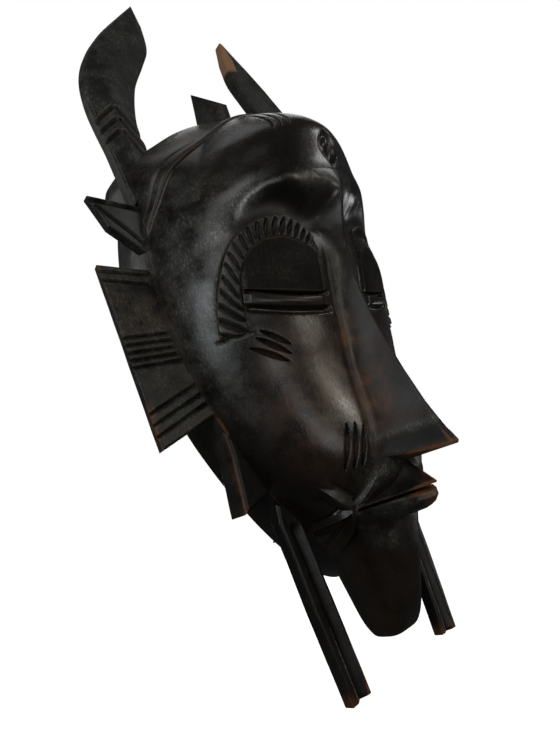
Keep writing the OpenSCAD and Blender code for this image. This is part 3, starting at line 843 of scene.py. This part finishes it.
def lower_lip(material):
    """A full, rounded lip."""
    v = np.linspace(0, 1, 26)[:, None]
    s = np.linspace(-1, 1, 121)[None]
    x = mix(22.5, 17, v) * s
    z = mix(64.6, 57.6, v) + 0 * s
    middle = np.interp(v, [0, 0.15, 0.45, 0.75, 0.9, 1], [-41.8, -44.3, -45.3, -43.4, -41, -38.4])
    corner = mix(face_y(x, z), -19, v)
    y = mix(middle, corner, np.abs(s) ** 1.5)
    y = np.minimum(y, face_y(x, z) - 0.1)
    grid = np.stack([x, y, z], -1)
    back = np.stack([x, np.maximum(face_y(x, z), y) + 3.0, z], -1)
    make_piece("lower_lip", *closed_grid(grid, back), "feature_wood", material, uneven=0.15)


def chin(material):
    """Rings of a squarish section: height, half width, front, back."""
    sections = smooth_line([(60, 18.2, -28, 10), (50, 16.2, -25, 14), (40, 13.8, -21.8, 13),
                            (30, 11.9, -18.2, 11.5), (21, 10.8, -14.2, 9.5), (16.2, 9.6, -11.2, 7.6),
                            (13.6, 8, -8.4, 5.6), (12.7, 4.5, -4.5, 2.5)], 70)
    turn = np.linspace(0, 2 * math.pi, 97)[:-1][None]
    z, half, front, back = (sections[:, k][:, None] for k in range(4))
    square = 0.6
    x = half * np.sign(np.cos(turn)) * np.abs(np.cos(turn)) ** square
    y = (front + back) / 2 - (back - front) / 2 * np.sign(np.sin(turn)) * np.abs(np.sin(turn)) ** square
    grid = np.stack([x, y, z + 0 * x], -1)
    at = np.arange(x.size).reshape(x.shape)
    after = np.roll(at, -1, axis=1)
    faces = np.stack([at[:-1], after[:-1], after[1:], at[1:]], -1).reshape(-1, 4).tolist()
    faces += [at[0].tolist(), at[-1].tolist()]
    make_piece("chin", grid.reshape(-1, 3), faces, "feature_wood", material, uneven=0.25)


# ---- brows, eyes, marks ----

def relief(x, z, lift, under=1.6):
    """A solid that stands lift proud of the face and reaches under below it."""
    return closed_grid(on_face(x, z, lift), on_face(x, z, np.full(x.shape, -under)))


def brows(material):
    """An arch crossed by lens-shaped cuts, slanting in the tail and upright on top."""
    along, across = 420, 22
    t = np.linspace(0, 1, along)[:, None]
    s = np.linspace(0, 1, across)[None]
    outer = smooth_line(BROW_OUTER, along)[:, None]
    inner = smooth_line(BROW_INNER, along)[:, None]
    p = mix(outer, inner, s[..., None])
    tail = ramp(0.45, 0.1, t)
    slant = t + (0.018 + 0.09 * ramp(0.5, 0.1, t)) * s
    phase = (21 * (0.62 * slant + 0.38 * slant ** 2)) % 1
    lens = (0.66 + 0.16 * tail) * np.sin(math.pi * np.clip(s, 0.03, 0.97)) ** 0.6
    gouged = np.clip(1 - np.abs(2 * phase - 1) / lens, 0, 1) ** 0.8
    lift = (0.9 + 0.9 * tail) * ramp(0, 0.1, s) * ramp(1, 0.9, s) * ramp(0, 0.012, t) * ramp(1, 0.97, t)
    lift = lift - 0.35 - (1.1 + 1.0 * tail) * gouged * ramp(0.05, 0.14, s) * ramp(0.97, 0.88, s)
    both("brow", relief(p[..., 0], p[..., 1], lift), "feature_wood", material, uneven=0.08)


def eyelids(material):
    """Closed upper lids that fill the arches of the brows."""
    cols, rows = 110, 70
    x = np.linspace(12.8, 45.2, cols)[None] + np.zeros((rows, 1))
    arch = sorted(BROW_INNER[2:])
    top = np.interp(x, *np.transpose(arch)) + 0.6
    v = np.linspace(0, 1, rows)[:, None]
    z = mix(slit_z(x) + 0.35, np.maximum(top, slit_z(x) + 1.5), v)
    ends = ramp(12.8, 15.5, x) * ramp(45.2, 43.0, x)
    lift = 0.25 + 0.9 * np.sin(math.pi * np.clip((x - 12) / 34, 0, 1)) * np.cos(v * 1.5) ** 0.8
    lift = lift * ends * ramp(0, 0.03, v) - 0.3 * (1 - ends)
    lift = lift - 0.9 * ramp(0.02, 0, v) - 0.25 * ramp(0.9, 1, v)
    both("eyelid", relief(x, z, lift, 2.8), "feature_wood", material, uneven=0.1)


def lower_lids(material):
    """Rounded strips under the slits of the eyes."""
    cols, rows = 110, 18
    x = np.linspace(12.8, 45.0, cols)[None] + np.zeros((rows, 1))
    v = np.linspace(0, 1, rows)[:, None]
    z = slit_z(x) - mix(0.9, 5.2, v)
    ends = ramp(12.8, 16, x) * ramp(45.0, 42.5, x)
    roll = 0.35 + 1.2 * np.sin(math.pi * v) ** 0.5 * np.sin(math.pi * (x - 12) / 34)
    lift = roll * ends - 0.6 * (1 - ends)
    lift = lift - 0.9 * ramp(0.08, 0, v) - 0.9 * ramp(0.92, 1, v)
    both("lower_lid", relief(x, z, lift, 2.8), "feature_wood", material, uneven=0.1)


def mouth_stars(material):
    """Leaf-shaped ridges that meet in a point beside the mouth."""
    heights = [1.5, 1.8, 3.2, 1.2]
    points, faces = [], []
    for tip, height in zip(MOUTH_TIPS, heights):
        axis = np.subtract(tip, MOUTH_CORNER)
        axis = axis / np.linalg.norm(axis)
        start = np.array(MOUTH_CORNER) - 2.0 * axis
        t = np.linspace(0, 1, 34)[:, None]
        s = np.linspace(-1, 1, 15)[None]
        width = 1.8 * np.sin(math.pi * (0.1 + 0.88 * t)) ** 0.8
        x = mix(start[0], tip[0], t) - axis[1] * width * s
        z = mix(start[1], tip[1], t) + axis[0] * width * s
        lift = height * (1 - np.abs(s)) * np.sin(math.pi * (0.15 + 0.8 * t)) - 0.2
        leaf_points, leaf_faces = relief(x, z, lift, 1.2)
        first = sum(map(len, points))
        faces += [[first + k for k in face] for face in leaf_faces]
        points.append(leaf_points)
    both("mouth_star", (np.vstack(points), faces), "feature_wood", material, uneven=0.08)


def forehead_boss(material):
    """An almond-shaped hollow with an oval bead in its upper part."""
    disc_x, disc_z = disc(*np.meshgrid(np.linspace(-1, 1, 44), np.linspace(-1, 1, 44)))
    z = BOSS_Z + 9.3 * disc_z
    x = 5.7 * np.clip(1 - ((z - BOSS_Z) / 13) ** 2, 0.1, 1) * disc_x
    part = np.hypot(disc_x, disc_z)
    lift = 0.35 * bump(part, 0.93, 0.06) - 0.25 * ramp(0.97, 1, part)
    lift = lift - 2.2 * ramp(0.9, 0.55, part)
    lift = lift + 2.0 * bump(np.hypot(x / 2.9, (z - BOSS_Z - 2.4) / 4.2), 0, 0.75)
    make_piece("forehead_boss", *relief(x, z, lift, 3.2), "feature_wood", material, uneven=0.08)


# ---- materials ----

class Nodes:
    """Short names for building a material's nodes."""

    def __init__(self, name):
        self.material = bpy.data.materials.new(name)
        self.material.use_nodes = True
        self.tree = self.material.node_tree
        self.shader = self.tree.nodes["Principled BSDF"]

    def add(self, kind, **settings):
        made = self.tree.nodes.new("ShaderNode" + kind)
        for key, value in settings.items():
            setattr(made, key, value)
        return made

    def join(self, source, target):
        self.tree.links.new(source, target)

    def value(self, operation, a, b):
        """Arithmetic on two sockets or numbers. Sums and differences stay between 0 and 1."""
        made = self.add("Math", operation=operation)
        made.use_clamp = operation in ("ADD", "SUBTRACT")
        for socket, item in zip(made.inputs, (a, b)):
            self.feed(item, socket)
        return made.outputs[0]

    def feed(self, item, socket):
        if isinstance(item, (int, float, tuple)):
            socket.default_value = item
        else:
            self.join(item, socket)

    def blend(self, amount, a, b):
        made = self.add("Mix", data_type="RGBA")
        self.feed(amount, made.inputs["Factor"])
        self.feed(a, made.inputs[6])
        self.feed(b, made.inputs[7])
        return made.outputs[2]

    def band(self, source, low, high):
        """0 below low, 1 above high."""
        made = self.add("MapRange", interpolation_type="SMOOTHSTEP")
        self.feed(source, made.inputs["Value"])
        made.inputs["From Min"].default_value = low
        made.inputs["From Max"].default_value = high
        return made.outputs[0]

    def millimetres(self, stretch=(1.0, 1.0, 1.0)):
        """Place on the piece; a small stretch along an axis draws a pattern out along it."""
        made = self.add("Mapping")
        made.inputs["Scale"].default_value = tuple(1000 * s for s in stretch)
        self.join(self.add("TexCoord").outputs["Object"], made.inputs["Vector"])
        return made.outputs[0]

    def noise(self, where, size, detail, rough=0.55):
        made = self.add("TexNoise")
        self.join(where, made.inputs["Vector"])
        made.inputs["Scale"].default_value = 1 / size
        made.inputs["Detail"].default_value = detail
        made.inputs["Roughness"].default_value = rough
        return made.outputs[0]

    def attribute(self, name):
        return self.add("Attribute", attribute_name=name).outputs["Fac"]


def colour(*rgb):
    return (*rgb, 1.0)


DARK_GRAIN = colour(0.007, 0.006, 0.005)
# dull wood, and painted shade over the brows and on the lower nose
DULL_AND_SHADED_BLACK = colour(0.003, 0.0026, 0.0022)
# painted shade for creases
CREASE_SHADE = colour(0.0025, 0.0022, 0.002)
RED_BROWN = colour(0.075, 0.031, 0.012)
ORANGE_BROWN = colour(0.20, 0.095, 0.032)
# pale bloom, and painted sheen and highlight
PALE_BLOOM_AND_SHEEN = colour(0.085, 0.090, 0.078)
# pale specks, and painted glints in the sheen
PALE_SPECKS_AND_GLINTS = colour(0.42, 0.41, 0.33)
WORN_EDGE = colour(0.055, 0.040, 0.026)
RUBBED_THROUGH = colour(0.155, 0.062, 0.024)
SCRATCHED = colour(0.11, 0.085, 0.06)
BARE_WOOD = colour(0.30, 0.165, 0.085)


def wood(name, dark, light, roughness, shine):
    """Dark waxed wood with grain, tool marks, pale bloom with painted sheen and glints, creases and
    hollows darkened as painted shade, and rubbed edges.
    """
    n = Nodes(name)
    place_mm = n.millimetres()
    along_mm = n.millimetres((1.0, 1.0, 0.13))
    clouds = n.noise(place_mm, 30, 5)
    patches = n.noise(place_mm, 9, 6, 0.62)
    grain = n.noise(along_mm, 1.1, 5, 0.6)
    specks = n.noise(n.millimetres((1.0, 1.0, 0.4)), 0.6, 4, 0.7)
    scratches = n.noise(n.millimetres((0.9, 0.9, 0.09)), 0.45, 2, 0.5)
    tools = n.noise(place_mm, 6.5, 1, 0.4)
    wear, hollow = map(n.attribute, ("wear", "hollow"))
    warm, dust_and_sheen, rubbed, bare, dull_and_shaded, polished = map(n.attribute, PAINTED)

    reddish = n.value("MULTIPLY", warm, n.band(patches, 0.33, 0.62))
    orange = n.value("SUBTRACT", reddish, 0.8)
    bloom_and_sheen = n.value("MULTIPLY", dust_and_sheen, n.band(patches, 0.30, 0.70))
    speck_and_glint = n.value("MULTIPLY", bloom_and_sheen, n.band(specks, 0.50, 0.66))
    edges = n.value("MULTIPLY", wear, n.value("ADD", patches, 0.1))
    through = n.value("MULTIPLY", n.value("ADD", edges, 0.12), rubbed)
    layers = [
        (n.band(grain, 0.42, 0.68), 0.5, DARK_GRAIN),
        # dull wood is darker; over the brows and on the lower nose this is painted shade
        (dull_and_shaded, 0.5, DULL_AND_SHADED_BLACK),
        (reddish, 0.85, RED_BROWN),
        (orange, 0.7, ORANGE_BROWN),
        # pale bloom, with painted sheen and highlights on the temples, brows and cheeks
        (bloom_and_sheen, 0.75, PALE_BLOOM_AND_SHEEN),
        # pale specks, and painted glints in that sheen
        (speck_and_glint, 0.6, PALE_SPECKS_AND_GLINTS),
        # painted shade: creases and hollows darkened
        (hollow, 0.9, CREASE_SHADE),
        (n.band(edges, 0.2, 0.7), 0.45, WORN_EDGE),
        (n.band(through, 0.12, 0.5), 0.9, RUBBED_THROUGH),
        (n.band(scratches, 0.62, 0.74), 0.14, SCRATCHED),
        (bare, 1.0, BARE_WOOD),
    ]
    tint = n.blend(n.band(clouds, 0.36, 0.64), colour(*dark), colour(*light))
    for amount, strength, paint_colour in layers:
        tint = n.blend(n.value("MULTIPLY", amount, strength), tint, paint_colour)
    n.join(tint, n.shader.inputs["Base Color"])

    rough = n.value("ADD", n.value("MULTIPLY", n.blend(0.5, patches, specks), 0.34), roughness - 0.17)
    for amount, strength in ((bloom_and_sheen, 0.22), (hollow, 0.2), (dull_and_shaded, 0.25)):
        rough = n.value("ADD", rough, n.value("MULTIPLY", amount, strength))
    n.join(rough, n.shader.inputs["Roughness"])
    wax = n.value("MULTIPLY", polished, n.band(specks, 0.30, 0.58))
    n.join(wax, n.shader.inputs["Coat Weight"])
    n.shader.inputs["Coat Roughness"].default_value = 0.24
    n.shader.inputs["Specular IOR Level"].default_value = shine
    n.shader.inputs["IOR"].default_value = 1.45

    big = n.add("Bump")
    big.inputs["Distance"].default_value = 0.00035
    big.inputs["Strength"].default_value = 0.5
    n.join(tools, big.inputs["Height"])
    fine = n.add("Bump")
    fine.inputs["Distance"].default_value = 0.00008
    fine.inputs["Strength"].default_value = 1.0
    n.join(n.blend(0.45, grain, specks), fine.inputs["Height"])
    n.join(big.outputs[0], fine.inputs["Normal"])
    n.join(fine.outputs[0], n.shader.inputs["Normal"])
    return n.material


# ---- studio ----

def studio():
    """A white background for the camera, and a faint pale light from all round for the wood."""
    scene = bpy.context.scene
    scene.view_settings.view_transform = "Standard"
    world = bpy.data.worlds.new("studio")
    scene.world = world
    world.use_nodes = True
    tree = world.node_tree
    seen = tree.nodes["Background"]
    seen.inputs["Color"].default_value = colour(1, 1, 1)
    seen.inputs["Strength"].default_value = 1.0
    around = tree.nodes.new("ShaderNodeBackground")
    around.inputs["Color"].default_value = colour(0.92, 0.96, 1.0)
    around.inputs["Strength"].default_value = 0.045
    path = tree.nodes.new("ShaderNodeLightPath")
    pick = tree.nodes.new("ShaderNodeMixShader")
    tree.links.new(path.outputs["Is Camera Ray"], pick.inputs[0])
    tree.links.new(around.outputs[0], pick.inputs[1])
    tree.links.new(seen.outputs[0], pick.inputs[2])
    tree.links.new(pick.outputs[0], tree.nodes["World Output"].inputs["Surface"])


def softbox(name, direction, size, radiance, tone=(1, 1, 1)):
    """A rectangular light that faces the middle of the mask from a short way off."""
    distance = 0.9
    middle = Vector((0, -0.04, -0.10))
    light = bpy.data.lights.new(name, "AREA")
    light.shape = "RECTANGLE"
    light.size, light.size_y = size
    light.energy = radiance * math.pi * size[0] * size[1]
    light.color = tone
    lamp = bpy.data.objects.new(name, light)
    bpy.context.scene.collection.objects.link(lamp)
    way = Vector(direction).normalized()
    lamp.location = middle + way * distance
    lamp.rotation_euler = way.to_track_quat("Z", "Y").to_euler()


def lights():
    softbox("left_wall", (-0.94, -0.30, 0.10), (0.26, 0.30), 6.0, (0.90, 0.96, 1.0))
    softbox("left_window", (-0.46, -0.86, -0.22), (0.20, 0.26), 6.0)
    softbox("left_high", (-0.66, -0.55, 0.50), (0.36, 0.36), 2.6)
    softbox("front_lamp", (0.08, -0.99, 0.05), (0.16, 0.16), 11.0, (1.0, 0.93, 0.80))
    softbox("front_high", (0.50, -0.71, 0.50), (0.26, 0.26), 5.0)
    softbox("right_wall", (0.93, -0.25, -0.26), (0.26, 0.26), 6.5)
    softbox("hood_light", (-0.71, 0.50, 0.50), (0.26, 0.26), 2.2)
    softbox("back_high", (0.56, 0.32, 0.77), (0.40, 0.40), 1.4)
    softbox("ceiling", (0.0, 0.0, 1.0), (0.40, 0.40), 0.7)
    softbox("back_right", (0.50, 0.85, 0.10), (0.50, 0.50), 5.0)


def floor():
    """A pale round floor just below the feet of the mask."""
    low = cad_box[0][2] - 0.03
    radius = 2.5
    corners = 96
    mesh = bpy.data.meshes.new("floor")
    turns = np.linspace(0, 2 * math.pi, corners, endpoint=False)
    ring = [(radius * math.cos(turn), radius * math.sin(turn), low) for turn in turns]
    mesh.from_pydata(ring, [], [list(range(corners))])
    pale = bpy.data.materials.new("pale_floor")
    pale.use_nodes = True
    shader = pale.node_tree.nodes["Principled BSDF"]
    shader.inputs["Base Color"].default_value = colour(0.25, 0.25, 0.26)
    shader.inputs["Roughness"].default_value = 0.8
    shader.inputs["Emission Color"].default_value = colour(1, 1, 1)
    shader.inputs["Emission Strength"].default_value = 1.0
    mesh.materials.append(pale)
    piece = bpy.data.objects.new("floor", mesh)
    bpy.context.scene.collection.objects.link(piece)
    piece.visible_diffuse = False
    piece.visible_glossy = False


def camera():
    """Close, low and to the left of the mask, with the mask leaning in the frame."""
    data = bpy.data.cameras.new("camera")
    data.sensor_width = 36
    data.lens = 25.58
    data.clip_start = 0.01
    right = Vector((0.733, -0.600, -0.318)).normalized()
    up = Vector((0.090, -0.381, 0.920))
    up = (up - right * up.dot(right)).normalized()
    turn = Matrix((right, up, right.cross(up))).transposed().to_4x4()
    eye = bpy.data.objects.new("camera", data)
    eye.matrix_world = Matrix.Translation((-0.1753, -0.1905, -0.1905)) @ turn
    bpy.context.scene.collection.objects.link(eye)
    bpy.context.scene.camera = eye


# ---- the mask ----

dark_wood = wood("dark_wood", dark=(0.0045, 0.0038, 0.0032), light=(0.013, 0.0095, 0.0065),
                 roughness=0.28, shine=0.42)
plate_wood = wood("plate_wood", dark=(0.0055, 0.0052, 0.0048), light=(0.013, 0.012, 0.0105),
                  roughness=0.36, shine=0.28)
dull_wood = wood("dull_wood", dark=(0.0050, 0.0042, 0.0034), light=(0.013, 0.0095, 0.0065),
                 roughness=0.40, shine=0.12)
feature_wood = wood("feature_wood", dark=(0.0050, 0.0042, 0.0034), light=(0.015, 0.0105, 0.0065),
                    roughness=0.33, shine=0.42)

camera()
studio()
lights()
floor()

face_shell(dark_wood)
hood(dark_wood)
headband(feature_wood)
crest(plate_wood)
horns(plate_wood)
temple_fins(plate_wood)
ear_panels(plate_wood)
jaw_fins(plate_wood)
legs(plate_wood)
nose(feature_wood)
upper_lip(dull_wood)
lower_lip(feature_wood)
chin(feature_wood)
brows(feature_wood)
eyelids(dull_wood)
lower_lids(feature_wood)
mouth_stars(feature_wood)
forehead_boss(feature_wood)
